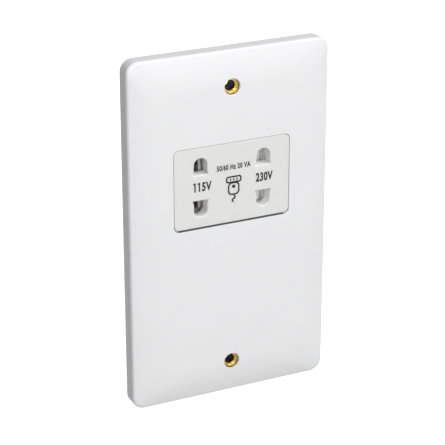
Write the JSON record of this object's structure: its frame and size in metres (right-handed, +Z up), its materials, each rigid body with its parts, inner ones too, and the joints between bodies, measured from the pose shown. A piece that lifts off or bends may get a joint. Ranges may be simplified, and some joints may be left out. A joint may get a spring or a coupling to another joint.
{
  "type": "shaver socket",
  "caption": "Flush wall plate with pillow edges, a dual-voltage shaver outlet in a face insert, a sliding interlock shutter and an isolating transformer in a rear housing.",
  "frame": {"origin": "on the wall plane, midway between the two fixing holes, at the centre of the plate", "axes": "+X to the right seen from the front, +Y into the wall, +Z up along the long side of the plate"},
  "size_m": [0.088, 0.0425, 0.15],
  "materials": {
    "white_plate": "glossy moulded white",
    "insert": "satin moulded off-white",
    "shutter": "plain moulded off-white",
    "carrier": "plain black moulding",
    "brass": "turned or folded brass",
    "steel": "zinc plated steel",
    "strap": "tinned brass strip",
    "iron": "stacked silicon steel sheets",
    "former": "plain nylon",
    "winding": "enamelled copper wire",
    "cutout": "plain black case",
    "housing": "plain moulded pale grey",
    "block": "plain moulded cream",
    "lead_brown": "brown insulation",
    "lead_blue": "blue insulation",
    "lead_white": "white insulation"
  },
  "bodies": {
    "socket": {"front_plate": "white_plate", "socket_insert": "insert", "contact_carrier": "carrier", "upper_fixing_bush": "brass", "lower_fixing_bush": "brass", "contact_115v_upper": "brass", "contact_115v_lower": "brass", "contact_230v_upper": "brass", "contact_230v_lower": "brass", "common_link": "brass", "live_terminal": "brass", "neutral_terminal": "brass", "earth_terminal": "brass", "carrier_screws": "steel", "terminal_block_screws": "steel", "terminal_screws": "steel", "housing_screws": "steel", "core_clamp": "steel", "earth_strap": "strap", "core_e_stack": "iron", "core_i_stack": "iron", "coil_former": "former", "primary_winding": "winding", "secondary_winding": "winding", "thermal_cutout": "cutout", "rear_housing": "housing", "terminal_block": "block", "live_lead": "lead_brown", "neutral_lead": "lead_blue", "common_lead": "lead_white", "lead_115v": "lead_white", "lead_230v": "lead_white"},
    "shutter": {"interlock_shutter": "shutter"}
  },
  "joints": [
    {"name": "shutter_slide", "type": "slide", "parent": "socket", "child": "shutter", "axis": [1, 0, 0], "range_m": [-0.0072, 0]}
  ]
}
